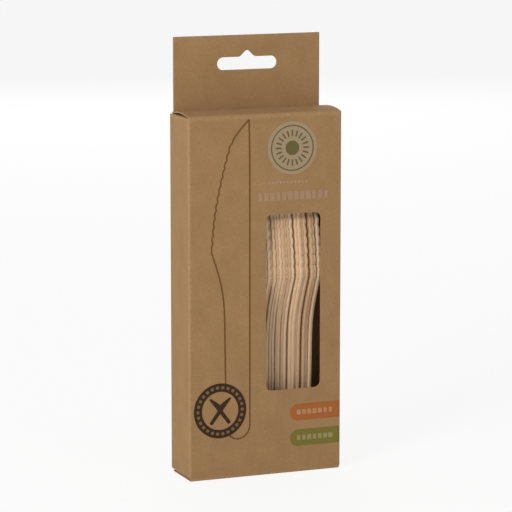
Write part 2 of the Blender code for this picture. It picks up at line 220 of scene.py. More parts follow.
def knife_stand():
    """The tree that stands one blank in the carton once for each knife."""
    inputs = {"Knives": "Int"}
    for group in LATER_GROUPS:
        inputs |= {group + " Start": "Int", group + " Gap": "Float", group + " Tilt": "Float"}
    inputs |= {"First Place": "Vector", "Pitch": "Float", "Lean": "Float", "Push": "Float",
               "Rhythm": "Float", "Seed": "Int", "Material": "Material"}
    tree, given, keys = new_tree("stand_the_knives", inputs)
    index = tree.nodes.new("GeometryNodeInputIndex").outputs[0]
    x, tilt = calc(tree, "MULTIPLY", index, given["Pitch"]), 0.0
    for group in LATER_GROUPS:
        start = calc(tree, "SUBTRACT", given[group + " Start"], 0.5)
        reached = calc(tree, "GREATER_THAN", index, start)
        x = calc(tree, "ADD", x, calc(tree, "MULTIPLY", reached, given[group + " Gap"]))
        tilt = calc(tree, "MAXIMUM", tilt, calc(tree, "MULTIPLY", reached, given[group + " Tilt"]))
    wave = calc(tree, "COSINE", calc(tree, "MULTIPLY", index, given["Rhythm"]))
    push = calc(tree, "MULTIPLY", calc(tree, "SUBTRACT", 1.0, wave), 0.5)
    push = calc(tree, "MULTIPLY", push, given["Push"])
    aside = calc(tree, "MULTIPLY", push, calc(tree, "SINE", given["Lean"]))
    back = calc(tree, "MULTIPLY", push, calc(tree, "COSINE", given["Lean"]))
    step = add_node(tree, "ShaderNodeCombineXYZ", X=calc(tree, "SUBTRACT", x, aside), Y=back)
    start = add_node(tree, "ShaderNodeVectorMath", {"operation": "ADD"})
    tree.links.new(given["First Place"], start.inputs[0])
    tree.links.new(step.outputs[0], start.inputs[1])
    points = add_node(tree, "GeometryNodePoints", Count=given["Knives"], Position=start.outputs[0])
    turn = add_node(tree, "ShaderNodeCombineXYZ", Y=tilt, Z=given["Lean"])
    turn = add_node(tree, "FunctionNodeEulerToRotation", Euler=turn.outputs[0])
    stood = add_node(tree, "GeometryNodeInstanceOnPoints", Points=points.outputs[0],
                     Instance=given["Geometry"], Rotation=turn.outputs[0])
    chance = add_node(tree, "FunctionNodeRandomValue", {"data_type": "FLOAT"}, Seed=given["Seed"])
    value = [s for s in chance.outputs if s.enabled][0]
    toned = add_node(tree, "GeometryNodeStoreNamedAttribute",
                     {"data_type": "FLOAT", "domain": "INSTANCE"},
                     Geometry=stood.outputs[0], Name="tone", Value=value)
    end_tree(tree, toned.outputs[0])
    return tree, keys


def new_paint(name, roughness):
    """A material with its shader, ready for a colour and a bump."""
    material = bpy.data.materials.new(name)
    material.use_nodes = True
    tree = material.node_tree
    shader = tree.nodes["Principled BSDF"]
    shader.inputs["Roughness"].default_value = roughness
    return material, tree, shader


def srgb(red, green, blue):
    """A colour as seen on a screen, turned into light."""
    levels = [c / 255 for c in (red, green, blue)]
    return (*[c / 12.92 if c < 0.04045 else ((c + 0.055) / 1.055) ** 2.4 for c in levels], 1.0)


def mix(tree, how, share, under, over):
    """Two colours laid over each other."""
    node = tree.nodes.new("ShaderNodeMix")
    node.data_type, node.blend_type = "RGBA", how
    for socket, value in zip((node.inputs[0], node.inputs[6], node.inputs[7]), (share, under, over)):
        if isinstance(value, bpy.types.NodeSocket):
            tree.links.new(value, socket)
        else:
            socket.default_value = value
    return node.outputs[2]


def noise(tree, place, stretch, detail=4.0, roughness=0.55, turn=None):
    """Noise on stretched coordinates; turn shifts it so that like pieces differ."""
    spread = add_node(tree, "ShaderNodeMapping", Vector=place, Scale=stretch)
    kind = {"noise_dimensions": "4D" if turn is not None else "3D"}
    more = {"W": turn} if turn is not None else {}
    return add_node(tree, "ShaderNodeTexNoise", kind, Vector=spread.outputs[0], Scale=1.0,
                    Detail=detail, Roughness=roughness, **more).outputs["Fac"]


def ramp(tree, value, low, high, low_result=0.0, high_result=1.0):
    """A value stretched from one range to another."""
    node = add_node(tree, "ShaderNodeMapRange", {"clamp": True})
    names = ("Value", "From Min", "From Max", "To Min", "To Max")
    for label, given in zip(names, (value, low, high, low_result, high_result)):
        if isinstance(given, bpy.types.NodeSocket):
            tree.links.new(given, node.inputs[label])
        else:
            node.inputs[label].default_value = given
    return node.outputs[0]


def roughen(tree, shader, height, depth, strength=1.0):
    """Fine relief on a surface, as deep as given."""
    bump = add_node(tree, "ShaderNodeBump", Height=height, Distance=depth, Strength=strength)
    tree.links.new(bump.outputs[0], shader.inputs["Normal"])


GRAIN_STRETCH = (2600, 900, 34)
PORE_STRETCH = (5200, 3600, 260)
CLOUD_STRETCH = (60, 60, 22)
GRAIN_DEPTH = 0.00005
VENEER_DARK, VENEER_LIGHT = srgb(200, 164, 125), srgb(236, 209, 172)
VENEER_PINK, PORE_BROWN = srgb(214, 164, 130), srgb(150, 118, 86)
VENEER_DULL, VENEER_CUT = srgb(206, 184, 160), srgb(236, 206, 170)

veneer, tree, shader = new_paint("birch_veneer", 0.62)
place = add_node(tree, "ShaderNodeAttribute", {"attribute_name": "place_on_knife"}).outputs["Vector"]
tone = add_node(tree, "ShaderNodeAttribute", {"attribute_name": "tone"}).outputs["Fac"]
cut = add_node(tree, "ShaderNodeAttribute", {"attribute_name": "cut_edge"}).outputs["Fac"]
shift = calc(tree, "MULTIPLY", tone, 37.0)
grain = noise(tree, place, GRAIN_STRETCH, 6.0, 0.6, shift)
pores = noise(tree, place, PORE_STRETCH, 3.0, 0.5, shift)
cloud = noise(tree, place, CLOUD_STRETCH, 3.0, 0.5, shift)
colour = mix(tree, "MIX", ramp(tree, grain, 0.3, 0.7), VENEER_DARK, VENEER_LIGHT)
colour = mix(tree, "MIX", ramp(tree, cloud, 0.42, 0.7, 0.0, 0.45), colour, VENEER_PINK)
colour = mix(tree, "MULTIPLY", ramp(tree, pores, 0.58, 0.72, 0.0, 0.35), colour, PORE_BROWN)
colour = mix(tree, "MULTIPLY", ramp(tree, tone, 0.0, 1.0, 0.0, 0.75), colour, VENEER_DULL)
colour = mix(tree, "SCREEN", calc(tree, "MULTIPLY", cut, 0.18), colour, VENEER_CUT)
tree.links.new(colour, shader.inputs["Base Color"])
relief = calc(tree, "ADD", grain, calc(tree, "MULTIPLY", pores, 0.5))
roughen(tree, shader, relief, GRAIN_DEPTH, 0.8)

# where they stand in the carton
BOARD = 0.0005
CLEARANCE = 0.0003
LAYER_GAP = 0.0001
HEEL_ROOM = 0.0006
BETWEEN_KNIVES = 0.00003
PUSHED_BACK, PUSH_RHYTHM = 0.0008, 2.4
TONE_SEED = 5
carton_low, carton_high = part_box("carton")
left, right = carton_low[0], carton_high[0]
front, back = carton_low[1], carton_high[1]
lean = math.radians(10)
# the first knife of each group, the gap at its foot, and its tilt to the right in degrees
groups = ((27, 0.0003, 0.05), (33, 0.0012, 0.10), (37, 0.0012, 0.15), (39, 0.0001, 0.55))
pitch = (KNIFE_THICKNESS + BETWEEN_KNIVES) / math.cos(lean)
first_place = (left + 2 * BOARD + LAYER_GAP + CLEARANCE,
               front + BOARD + HEEL_ROOM + HEEL_WIDTH * math.cos(lean),
               3 * BOARD + 2 * LAYER_GAP + CLEARANCE)
stand, keys = knife_stand()
layout = {"Knives": KNIFE_COUNT, "First Place": first_place, "Pitch": pitch, "Lean": lean,
          "Push": PUSHED_BACK, "Rhythm": PUSH_RHYTHM, "Seed": TONE_SEED, "Material": veneer}
for group, (start, gap, tilt) in zip(LATER_GROUPS, groups):
    layout |= {group + " Start": start, group + " Gap": gap, group + " Tilt": math.radians(tilt)}
knives = grow("knives", knife_blank(), stand, keys, layout)
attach(knives, "pack")
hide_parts(*[f"knife_{number:02d}" for number in range(1, KNIFE_COUNT + 1)])


# CARTON
# One sheet of brown kraft board, die-cut with its window and hang slot, creased, folded round
# and glued. The back panel runs up into the tab, which is folded over and glued to itself.

FOLD_INSIDE = 0.0002
SLIT = 0.0002
HEIGHT = 0.170
TAB_HEIGHT = 0.0345
TAB_NOTCH = 0.0001
SIDE_FLAP, SIDE_FLAP_TAPER, TAPER_LENGTH = 0.020, 0.003, 0.008
INNER_BOTTOM_FLAP = 0.016
GLUE_FLAP, GLUE_FLAP_TAPER = 0.012, 0.004
WINDOW = (0.0381, 0.040, 0.0104, 0.047)  # margins at the left, below, at the right, above
WINDOW_CORNER = 0.003
SLOT_WIDTH, SLOT_HEIGHT, SLOT_DROP = 0.030, 0.006, 0.0102
PEAK_WIDTH, PEAK_HEIGHT, PEAK_STEPS = 0.009, 0.003, 20
FOLD_STEPS = 6
GRID = 0.006
FRONT_SWELL, RIGHT_SWELL, LEFT_SWELL, TAB_CURL = 0.00022, 0.00018, 0.00012, 0.0002
DUST_FLAP_FRONT = -0.009584  # behind the lid's tucked flap
SQUARE_ON = 0.9999  # a panel faces its own side, and isn't part of a crease
TOUCHING = 1e-6

bend = FOLD_INSIDE + BOARD
middle_bend = FOLD_INSIDE + BOARD / 2
fold_length = math.pi / 2 * middle_bend
flat_front, flat_back = front + bend, back - bend
front_low = bend
back_low = front_low + BOARD + LAYER_GAP
side_low = back_low + BOARD + LAYER_GAP
hinge_y = back - 2 * BOARD - LAYER_GAP - CLEARANCE - BOARD / 2
hinge_z = HEIGHT - BOARD / 2
shoulder = hinge_z - BOARD / 2 - CLEARANCE
side_high = shoulder - bend
glue_x = left + BOARD + LAYER_GAP
glue_low, glue_high = side_low + GLUE_FLAP_TAPER / 2, side_high - GLUE_FLAP_TAPER / 2
tab_half = right - BOARD - LAYER_GAP - bend - SLIT - TAB_NOTCH
tab_top = HEIGHT + TAB_HEIGHT
tab_bend = BOARD + LAYER_GAP / 2
tab_middle_bend = tab_bend - BOARD / 2
tab_straight = tab_top - tab_bend
tab_fold_length = math.pi * tab_middle_bend
tab_end = 2 * tab_straight + tab_fold_length - HEIGHT
dust_front, dust_back = DUST_FLAP_FRONT, back - 2 * BOARD - LAYER_GAP - CLEARANCE

# the sheet's own measure s runs round the carton from the left panel's free edge, t runs up
s_left = back - SLIT - flat_front
s_front = s_left + fold_length
s_front_end = s_front + right - left - 2 * bend
s_right = s_front_end + fold_length
s_right_end = s_right + flat_back - flat_front
s_back = s_right_end + fold_length
s_back_end = s_back + right - bend - glue_x - bend
s_glue = s_back_end + fold_length
s_end = s_glue + GLUE_FLAP


def swell(across, up):
    """How far a panel stands out between its creases, from 0 at them to 1 halfway."""
    across, up = min(max(across, 0.0), 1.0), min(max(up, 0.0), 1.0)
    return math.sin(math.pi * across) * math.sin(math.pi * up) ** 0.6


def on_sheet(s, t, lift):
    """A point of the folded sheet, lifted from the middle of the board to its outer side."""
    x = y = 0.0
    z = t
    if s < s_left:
        x, y, out = left + bend, back - SLIT - s, Vector((-1, 0, 0))
    elif s < s_front:
        turn = (s - s_left) / middle_bend
        x, y, out = left + bend, flat_front, Vector((-math.cos(turn), -math.sin(turn), 0))
    elif s < s_front_end:
        x, y, out = left + bend + s - s_front, flat_front, Vector((0, -1, 0))
    elif s < s_right:
        turn = (s - s_front_end) / middle_bend
        x, y, out = right - bend, flat_front, Vector((math.sin(turn), -math.cos(turn), 0))
    elif s < s_right_end:
        x, y, out = right - bend, flat_front + s - s_right, Vector((1, 0, 0))
    elif s < s_back:
        turn = (s - s_right_end) / middle_bend
        x, y, out = right - bend, flat_back, Vector((math.cos(turn), math.sin(turn), 0))
    elif s < s_back_end:
        x, y, out = right - bend - (s - s_back), flat_back, Vector((0, 1, 0))
    elif s < s_glue:
        turn = (s - s_back_end) / middle_bend
        x, y, out = glue_x + bend, flat_back, Vector((-math.sin(turn), math.cos(turn), 0))
    else:
        x, y, out = glue_x + bend, flat_back - (s - s_glue), Vector((-1, 0, 0))

    # folded in below and, on the side panels, above
    low = {-1: front_low, 0: side_low, 1: back_low}[round(out.y)]
    inward = 0.0
    facing = out
    on_dust_flap = dust_front - TOUCHING < y < dust_back + TOUCHING
    if t < low and max(abs(out.x), abs(out.y)) > SQUARE_ON:
        turn = min((low - t) / middle_bend, math.pi / 2)
        facing = out * math.cos(turn) - Vector((0, 0, math.sin(turn)))
        inward = max(low - t - fold_length, 0.0)
        z = low
    elif abs(out.x) > SQUARE_ON and t > side_high and s < s_back and on_dust_flap:
        turn = min((t - side_high) / middle_bend, math.pi / 2)
        facing = out * math.cos(turn) + Vector((0, 0, math.sin(turn)))
        inward = max(t - side_high - fold_length, 0.0)
        z = side_high
    elif out.y > SQUARE_ON and t > tab_straight:
        turn = min((t - tab_straight) / tab_middle_bend, math.pi)
        facing = Vector((0, math.cos(turn), math.sin(turn)))
        z = tab_straight - max(t - tab_straight - tab_fold_length, 0.0)
        y += bend - tab_bend
        point = Vector((x, y, z)) + facing * (tab_middle_bend + lift)
        return point + Vector((0, tab_wave(x, point.z), 0))
    point = Vector((x, y, z)) + facing * (middle_bend + lift) - out * inward

    # the panels are never quite flat
    up = (z - side_low) / (shoulder - side_low)
    if inward == 0.0 and facing == out:
        if out.y < -0.9:
            point.y -= FRONT_SWELL * swell((x - left) / (right - left), up)
        elif out.x > 0.9:
            point.x -= RIGHT_SWELL * swell((y - front) / (back - front), up)
        elif out.x < -0.9:
            point.x -= LEFT_SWELL * swell((y - front) / (back - front), up)
        elif out.y > 0.9:
            point.y += tab_wave(x, z)
    return point


def tab_wave(x, z):
    """The tab's slight curl towards the front."""
    up = min(max((z - HEIGHT) / TAB_HEIGHT, 0.0), 1.0)
    return -TAB_CURL * up**2 * (0.6 + 0.4 * math.cos(90 * x))


def x_on_front(x):
    """Where a place across the front lies along the sheet."""
    return s_front + x - (left + bend)


def x_on_back(x):
    """Where a place across the back lies along the sheet."""
    return s_back + (right - bend) - x


def flap(s_first, s_last, base, way, straight, taper):
    """A side flap's outline beyond its crease."""
    tip = base + way * (fold_length + straight)
    neck = tip - way * TAPER_LENGTH
    return [(s_first, base), (s_first, neck), (s_first + taper, tip), (s_last - taper, tip),
            (s_last, neck), (s_last, base)]


def carton_blank():
    """The die's outlines: the sheet's own, the window's, and the slot's once in each layer."""
    def s_on_left(y):
        """Where a place on the left panel lies along the sheet."""
        return back - SLIT - y

    def s_on_right(y):
        """Where a place on the right panel lies along the sheet."""
        return s_right + y - flat_front

    front_tip = front_low - fold_length - (flat_back - flat_front)
    back_tip = back_low - fold_length - INNER_BOTTOM_FLAP
    sheet = [(0, side_low)]
    sheet += flap(s_on_left(flat_back), s_left, side_low, -1, SIDE_FLAP, SIDE_FLAP_TAPER)
    sheet += [(s_front, front_low), (s_front, front_tip)]
    sheet += [(s_front_end, front_tip), (s_front_end, front_low)]
    sheet += flap(s_right, s_right_end, side_low, -1, SIDE_FLAP, SIDE_FLAP_TAPER)
    sheet += [(s_back, back_low), (s_back, back_tip), (s_back_end, back_tip), (s_back_end, back_low)]
    sheet += [(s_glue, glue_low), (s_end, glue_low + GLUE_FLAP_TAPER)]
    sheet += [(s_end, glue_high - GLUE_FLAP_TAPER), (s_glue, glue_high), (s_back_end, shoulder)]
    for x, way in ((-tab_half, -1), (tab_half, 1)):
        foot, side = (x_on_back(x + way * SLIT), shoulder), x_on_back(x)
        sheet += [foot, (side, HEIGHT), (side, tab_end)][::-way]
    sheet += [(s_back, shoulder), (s_right_end, shoulder), (s_on_right(dust_back + SLIT), shoulder)]
    dust = (s_on_right(dust_front), s_on_right(dust_back))
    sheet += flap(*dust, side_high, 1, SIDE_FLAP, SIDE_FLAP_TAPER)[::-1]
    sheet += [(s_on_right(dust_front - SLIT), shoulder), (s_right, shoulder)]
    sheet += [(s_front_end, HEIGHT), (s_front, HEIGHT), (s_left, shoulder)]
    sheet += [(s_on_left(dust_front - SLIT), shoulder)]
    dust = (s_on_left(dust_back), s_on_left(dust_front))
    sheet += flap(*dust, side_high, 1, SIDE_FLAP, SIDE_FLAP_TAPER)[::-1]
    sheet += [(s_on_left(dust_back + SLIT), shoulder), (0, shoulder)]

    x_ends = (left + WINDOW[0] + WINDOW_CORNER, right - WINDOW[2] - WINDOW_CORNER)
    z_ends = (WINDOW[1] + WINDOW_CORNER, HEIGHT - WINDOW[3] - WINDOW_CORNER)
    window = []
    for quarter, (i, k) in enumerate(((1, 1), (0, 1), (0, 0), (1, 0))):
        corner = arc((x_ends[i], z_ends[k]), WINDOW_CORNER, 90 * quarter, 90 * quarter + 90, 8)
        window += [(x_on_front(p.x), p.y) for p in corner]

    end = SLOT_HEIGHT / 2
    end_x, slot_z = SLOT_WIDTH / 2 - end, tab_top - SLOT_DROP - end
    slot = [tuple(p) for p in arc((end_x, slot_z), end, -90, 90, 16)]
    for k in range(PEAK_STEPS + 1):
        rise = PEAK_HEIGHT * (1 - math.cos(2 * math.pi * k / PEAK_STEPS)) / 2
        slot.append((PEAK_WIDTH * (0.5 - k / PEAK_STEPS), slot_z + end + rise))
    slot += [tuple(p) for p in arc((-end_x, slot_z), end, 90, 270, 16)]
    over = 2 * tab_straight + tab_fold_length
    slots = [[(x_on_back(x), z) for x, z in slot], [(x_on_back(x), over - z) for x, z in slot]]
    return [sheet, window, *slots]


MM = 1000  # a flat blank is cut in millimetres, where Blender's own tolerances suit it
SNAP, APART = 0.0001, 0.001


def score(bm, s_lines, t_lines):
    """Score a flat blank along lines so that it can bend there."""
    for lines, way in ((s_lines, Vector((1, 0, 0))), (t_lines, Vector((0, 1, 0)))):
        for line in lines:
            parts = bm.verts[:] + bm.edges[:] + bm.faces[:]
            bmesh.ops.bisect_plane(bm, geom=parts, dist=SNAP, plane_co=way * line * MM, plane_no=way)
    for face in bm.faces:
        if face.normal.z < 0:
            face.normal_flip()
    return bm


def cut_blank(outlines, s_lines, t_lines):
    """The flat blank inside its outlines, in millimetres, scored along each line."""
    bm = bmesh.new()
    for outline in outlines:
        ring = []
        for s, t in outline:
            spot = Vector((s * MM, t * MM, 0))
            if not ring or min((spot - ring[end].co).length for end in (0, -1)) > APART:
                ring.append(bm.verts.new(spot))
        for k, vert in enumerate(ring):
            bm.edges.new((vert, ring[(k + 1) % len(ring)]))
    bmesh.ops.triangle_fill(bm, use_beauty=True, use_dissolve=False, edges=bm.edges[:])
    return score(bm, s_lines, t_lines)


def board_piece(name, blank, place, under, over, material, worn=None):
    """A piece of board or a layer of ink: the blank's two sides laid in place, edges closed."""
    bm = bmesh.new()
    worn_mark = bm.verts.layers.float.new("worn")
    blank.verts.index_update()
    sides = []
    for lift in (over, under):
        sides.append([bm.verts.new(place(v.co.x / MM, v.co.y / MM, lift)) for v in blank.verts])
    outer, inner = sides
    uv = bm.loops.layers.uv.new("sheet")
    cut_mark = bm.faces.layers.float.new("cut_edge")
    inside_mark = bm.faces.layers.float.new("inside")
    flat = {}
    for side in sides:
        for corner, vert in zip(side, blank.verts):
            flat[corner] = (vert.co.x / MM, vert.co.y / MM)
    for face in blank.faces:
        ring = [v.index for v in face.verts]
        bm.faces.new([outer[k] for k in ring])
        lining = bm.faces.new([inner[k] for k in reversed(ring)])
        lining[inside_mark] = 1.0
    for edge in blank.edges:
        if len(edge.link_loops) == 1:
            loop = edge.link_loops[0]
            a, b = loop.vert.index, loop.link_loop_next.vert.index
            rim = bm.faces.new((outer[b], outer[a], inner[a], inner[b]))
            rim[cut_mark] = 1.0
    for corner, (s, t) in flat.items():
        corner[worn_mark] = worn(s, t) if worn else 0.0
    for face in bm.faces:
        for loop in face.loops:
            loop[uv].uv = flat[loop.vert]
    mesh = bpy.data.meshes.new(name)
    bm.to_mesh(mesh)
    bm.free()
    blank.free()
    mesh.materials.append(material)
    mesh.shade_smooth()
    mesh.set_sharp_from_angle(angle=math.radians(40))
    piece = bpy.data.objects.new(name, mesh)
    bpy.context.scene.collection.objects.link(piece)
    return piece


def steps_between(first, last, count):
    """Evenly spaced values, both ends included."""
    return [first + (last - first) * k / count for k in range(count + 1)]


CREASE_WEAR = 0.0008
upright_folds = ((s_left, s_front), (s_front_end, s_right), (s_right_end, s_back), (s_back_end, s_glue))
upright_creases = [(first + last) / 2 for first, last in upright_folds]


def worn_at_creases(s, t):
    """How rubbed the sheet is: 1 on its creases, 0 beside them."""
    low = side_low
    if s_front <= s <= s_front_end:
        low = front_low
    elif s_back <= s <= s_back_end:
        low = back_low
    high = side_high if s < s_right_end else tab_straight - fold_length / 2
    away = [abs(t - low + fold_length / 2), abs(t - high - fold_length / 2)]
    if low - fold_length < t < HEIGHT:
        away += [abs(s - crease) for crease in upright_creases]
    return min(max(1 - (min(away) - fold_length / 2) / CREASE_WEAR, 0.0), 1.0)


KRAFT_LIGHT, KRAFT_DARK = srgb(158, 122, 80), srgb(149, 113, 72)
KRAFT_RUBBED, KRAFT_INSIDE, KRAFT_CUT = srgb(182, 150, 108), srgb(150, 126, 98), srgb(170, 140, 104)
CLOUDS, FIBRES, STRANDS, FLECKS = (110, 70, 1), (2400, 700, 1), (900, 5200, 1), (620, 620, 1)
FIBRE_DEPTH = 0.00004


def kraft_look(tree):
    """The colour of unbleached fibres: cloudy, streaked and flecked. Returns it and a relief."""
    place = add_node(tree, "ShaderNodeUVMap", {"uv_map": "sheet"}).outputs[0]
    cloud = noise(tree, place, CLOUDS, 5.0, 0.6)
    fibre = noise(tree, place, FIBRES, 6.0, 0.65)
    strand = noise(tree, place, STRANDS, 3.0, 0.5)
    colour = mix(tree, "MIX", ramp(tree, cloud, 0.3, 0.7), KRAFT_DARK, KRAFT_LIGHT)
    fibre_shade = ramp(tree, fibre, 0.3, 0.7, 0.86, 1.14)
    shade = calc(tree, "MULTIPLY", fibre_shade, ramp(tree, strand, 0.3, 0.7, 0.93, 1.07))
    spots = add_node(tree, "ShaderNodeMapping", Vector=place, Scale=FLECKS)
    fleck = add_node(tree, "ShaderNodeTexVoronoi", Vector=spots.outputs[0], Scale=1.0)
    shade = calc(tree, "MULTIPLY", shade, ramp(tree, fleck.outputs["Distance"], 0.05, 0.11, 0.66, 1.0))
    shade = calc(tree, "ADD", shade, ramp(tree, strand, 0.66, 0.74, 0.0, 0.18))
    shaded = add_node(tree, "ShaderNodeVectorMath", {"operation": "SCALE"}, Vector=colour, Scale=shade)
    relief = calc(tree, "ADD", fibre, calc(tree, "MULTIPLY", strand, 0.6))
    return shaded.outputs[0], relief


kraft, tree, shader = new_paint("kraft_board", 0.8)
colour, relief = kraft_look(tree)
worn = add_node(tree, "ShaderNodeAttribute", {"attribute_name": "worn"}).outputs["Fac"]
rubbed = calc(tree, "MULTIPLY", worn, ramp(tree, relief, 0.6, 1.0, 0.05, 0.4))
colour = mix(tree, "MIX", rubbed, colour, KRAFT_RUBBED)
inside = add_node(tree, "ShaderNodeAttribute", {"attribute_name": "inside"}).outputs["Fac"]
colour = mix(tree, "MIX", calc(tree, "MULTIPLY", inside, 0.7), colour, KRAFT_INSIDE)
cut = add_node(tree, "ShaderNodeAttribute", {"attribute_name": "cut_edge"}).outputs["Fac"]
colour = mix(tree, "MIX", calc(tree, "MULTIPLY", cut, 0.4), colour, KRAFT_CUT)
tree.links.new(colour, shader.inputs["Base Color"])
tree.links.new(ramp(tree, relief, 0.5, 1.1, 0.72, 0.9), shader.inputs["Roughness"])
roughen(tree, shader, relief, FIBRE_DEPTH, 0.7)

s_lines, t_lines = [], []
for first, last in upright_folds:
    s_lines += steps_between(first, last, FOLD_STEPS)
for low in (front_low, back_low, side_low):
    t_lines += [low - fold_length * k / FOLD_STEPS for k in range(FOLD_STEPS + 1)]
t_lines += steps_between(side_high, side_high + fold_length, FOLD_STEPS)
t_lines += steps_between(tab_straight, tab_straight + tab_fold_length, 2 * FOLD_STEPS)
for crease in upright_creases:
    s_lines += [crease + side * (CREASE_WEAR + fold_length / 2) for side in (-1, 1)]
t_lines += [front_low + CREASE_WEAR, side_low + CREASE_WEAR, side_high - CREASE_WEAR]
s_lines += [GRID * k for k in range(1, int(s_end / GRID))]
t_lines += [GRID * k for k in range(-3, int(tab_end / GRID) + 1)]
blank = cut_blank(carton_blank(), s_lines, t_lines)
carton = board_piece("kraft_carton", blank, on_sheet, -BOARD / 2, BOARD / 2, kraft, worn_at_creases)
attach(carton, "pack")
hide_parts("carton")


# LID
# The end of the same sheet, creased along the foot of the tab. It bulges a little, and its
# rounded flap is tucked in behind the front panel.

LID_ARCH = math.radians(11)
LID_FOLD_INSIDE = 0.0005
TUCK_FLAP, TUCK_SIDE_GAP, TUCK_CORNER = 0.0115, 0.0005, 0.006
TUCK_STEP = 0.0002  # how far over the fold the lid narrows to its flap
HINGE_STEPS = (0.98, 0.92, 0.8, 0.6, 0.3)
PANEL_STEPS = 12
FLAP_LINES = (0.004, 0.008)

lid_outside = LID_FOLD_INSIDE + BOARD
lid_middle = LID_FOLD_INSIDE + BOARD / 2
fold_at = Vector((front + BOARD + CLEARANCE + lid_outside - hinge_y, -lid_middle * math.cos(LID_ARCH)))
chord = lid_middle * math.sin(LID_ARCH) - fold_at.x
panel_radius = chord / (2 * math.sin(LID_ARCH))
panel_centre = Vector((-chord / 2, -panel_radius * math.cos(LID_ARCH)))
panel_length = 2 * LID_ARCH * panel_radius
swing = fold_at.length + lid_outside
upright = 2 * (TUCK_FLAP * -fold_at.y - lid_outside * fold_at.x)
level = 2 * (lid_outside * fold_at.y - TUCK_FLAP * fold_at.x)
surplus = fold_at.length**2 + lid_outside**2 + TUCK_FLAP**2 - swing**2
tuck_lean = math.atan2(upright, level) + math.asin(surplus / math.hypot(upright, level))
fold_turn = math.pi / 2 + tuck_lean - LID_ARCH
lid_fold_length = fold_turn * lid_middle
lid_half = right - CLEARANCE
tuck_half = right - BOARD - TUCK_SIDE_GAP


def on_lid(s, t, lift):
    """A point of the lid; s runs against X, t from the hinge over the panel into the flap."""
    if t < 0:
        angle = LID_ARCH
        point = Vector((math.cos(angle), -math.sin(angle))) * -t
        lift *= math.sqrt(max(1 - (2 * t / BOARD) ** 2, 0.0))
    elif t < panel_length:
        angle = LID_ARCH - t / panel_radius
        point = panel_centre + panel_radius * Vector((math.sin(angle), math.cos(angle)))
    else:
        angle = -LID_ARCH - min((t - panel_length) / lid_middle, fold_turn)
        point = fold_at + lid_middle * Vector((math.sin(angle), math.cos(angle)))
        past = max(t - panel_length - lid_fold_length, 0.0)
        point += Vector((math.sin(tuck_lean), -math.cos(tuck_lean))) * past
    point += Vector((math.sin(angle), math.cos(angle))) * lift
    return Vector((-s, hinge_y + point.x, hinge_z + point.y))


def worn_at_fold(_, t):
    """How rubbed the lid is: a half on its front fold, 0 beside it."""
    nearest = min(1 - (panel_length - t) / CREASE_WEAR, 1 - (t - flap_at) / CREASE_WEAR, 1.0)
    return 0.5 * max(nearest, 0.0)


flap_at = panel_length + lid_fold_length
rounding = [math.radians(15 * k) for k in range(7)]
hinge_round = [-BOARD / 2 * c for c in HINGE_STEPS]
corner_x = tuck_half - TUCK_CORNER
corner_t = flap_at + TUCK_FLAP - TUCK_CORNER
one_side = [(lid_half, hinge_round[0]), (lid_half, panel_length), (tuck_half, panel_length + TUCK_STEP)]
for turn in rounding:
    one_side.append((corner_x + TUCK_CORNER * math.cos(turn), corner_t + TUCK_CORNER * math.sin(turn)))
outline = one_side + [(-s, t) for s, t in reversed(one_side)]
t_lines = [*hinge_round, *steps_between(0, panel_length, PANEL_STEPS), panel_length - CREASE_WEAR]
t_lines += [*steps_between(panel_length, flap_at, PANEL_STEPS), flap_at + CREASE_WEAR]
t_lines += [flap_at + line for line in FLAP_LINES]
blank = cut_blank([outline], [GRID * k for k in range(-6, 7)], t_lines)
lid = board_piece("kraft_lid", blank, on_lid, -BOARD / 2, BOARD / 2, kraft, worn_at_fold)
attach(lid, "lid")
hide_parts("lid")


# PRINT
# Matt inks, printed on the flat sheet before it is cut: two coloured bands that run off the
# right-hand edge, a ringed stamp, a pale seal, plain bars above the window and a thin line
# drawing of one knife.

INK_LOW, INK_HIGH, INK_STEP = 0.000008, 0.000024, 0.00004
INK_RELIEF = 0.00003
INK_THIN = 0.18  # how much less ink lies between the fibres than on them
INK_FIBRES = 0.35  # how much the fibres shade it
INK_SHEEN = 0.25


def ink(name, colour, cover):
    """Matt ink that lets some of the fibres show."""
    material, tree, shader = new_paint(name, 0.7)
    shader.inputs["Specular IOR Level"].default_value = INK_SHEEN
    board, relief = kraft_look(tree)
    greys = mix(tree, "MIX", ramp(tree, relief, 0.55, 1.05), srgb(150, 150, 150), srgb(255, 255, 255))
    shade = mix(tree, "MULTIPLY", INK_FIBRES, colour, greys)
    laid = ramp(tree, relief, 0.5, 0.85, cover - INK_THIN, cover)
    tree.links.new(mix(tree, "MIX", laid, board, shade), shader.inputs["Base Color"])
    roughen(tree, shader, relief, INK_RELIEF, 0.6)
    return material


def flat_ink(outlines):
    """Ink still flat on the sheet; outlines run from the front's left edge and from the floor."""
    flat = [[(x_on_front(left + x), z) for x, z in outline] for outline in outlines]
    edges = [s for outline in flat for s, _ in outline]
    rises = [t for outline in flat for _, t in outline]
    s_cuts = steps_between(s_front_end, s_right, FOLD_STEPS)
    s_cuts += [GRID * k for k in range(int(s_end / GRID))]
    s_cuts = [s for s in s_cuts if min(edges) < s < max(edges)]
    t_cuts = [GRID * k for k in range(int(HEIGHT / GRID) + 1)]
    t_cuts = [t for t in t_cuts if min(rises) < t < max(rises)]
    return cut_blank(flat, s_cuts, t_cuts)


def print_on_front(name, flat, material, layer=0):
    """Lay flat ink on the front panel; later layers lie over earlier ones."""
    raise_by = BOARD / 2 + layer * INK_STEP
    piece = board_piece(name, flat, on_sheet, raise_by + INK_LOW, raise_by + INK_HIGH, material)
    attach(piece, "pack")
    return piece


def disc(centre, radius, steps=72):
    """A round outline."""
    return [tuple(p) for p in arc(centre, radius, 0, 360, steps)[:-1]]


